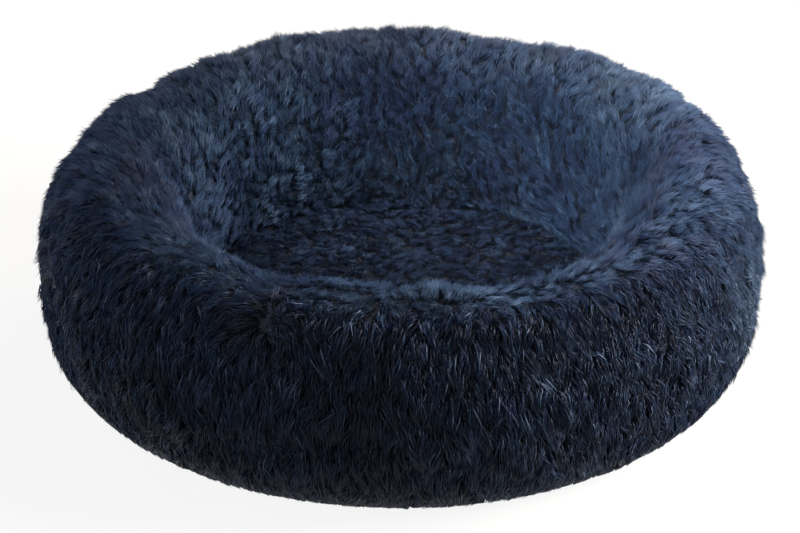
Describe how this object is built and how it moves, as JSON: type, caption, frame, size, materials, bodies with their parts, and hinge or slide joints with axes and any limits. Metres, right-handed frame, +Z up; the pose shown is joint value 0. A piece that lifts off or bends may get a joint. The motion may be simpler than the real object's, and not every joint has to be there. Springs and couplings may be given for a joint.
{
  "type": "donut pet bed",
  "caption": "Round donut pet bed: a stuffed long-pile ring around a crowned sleeping cushion, on a flat non-slip base, with a zip-off cover whose slider and pull move.",
  "frame": {"origin": "centre of the flat underside", "axes": "+Z up; -Y is the front, which the viewer faces; +X is the viewer's right. The zip runs round the +Y side"},
  "size_m": [0.6988, 0.7029, 0.21],
  "materials": {
    "long_pile": "long shaggy polyester pile, soft sheen",
    "liner_cloth": "thin matt nonwoven",
    "fibre_fill": "loose polyester fibre",
    "base_cloth": "plain weave with small rubbery grip dots",
    "woven_tape": "fine twill tape",
    "nylon_coil": "dyed nylon coil",
    "lacquered_zinc": "satin lacquer",
    "satin_label": "blank satin strip"
  },
  "bodies": {
    "bed": {"base_panel": "base_cloth", "base_edge_tape": "woven_tape", "ring_cover_front": "long_pile", "ring_cover_back": "long_pile", "ring_liner_outer": "liner_cloth", "ring_liner_inner": "liner_cloth", "ring_fill": "fibre_fill", "centre_cover": "long_pile", "centre_liner_top": "liner_cloth", "centre_liner_bottom": "liner_cloth", "centre_fill": "fibre_fill", "zip_tape_upper": "woven_tape", "zip_tape_lower": "woven_tape", "zip_coil_upper": "nylon_coil", "zip_coil_lower": "nylon_coil", "zip_top_stop_upper": "lacquered_zinc", "zip_top_stop_lower": "lacquered_zinc", "zip_bottom_stop": "lacquered_zinc", "zip_end_tab_left": "woven_tape", "zip_end_tab_right": "woven_tape", "care_label": "satin_label"},
    "slider": {"slider_body": "lacquered_zinc", "slider_bridge": "lacquered_zinc"},
    "pull": {"pull_tab": "lacquered_zinc"}
  },
  "joints": [
    {"name": "slider_travel", "type": "hinge", "parent": "bed", "child": "slider", "pos_m": [0, 0, 0.0165], "axis": [0, 0, -1], "range_deg": [0, 115.2]},
    {"name": "pull_swing", "type": "hinge", "parent": "slider", "child": "pull", "pos_m": [-0.21077, 0.22896, 0.0165], "axis": [0, 0, 1], "range_deg": [0, 180]}
  ]
}
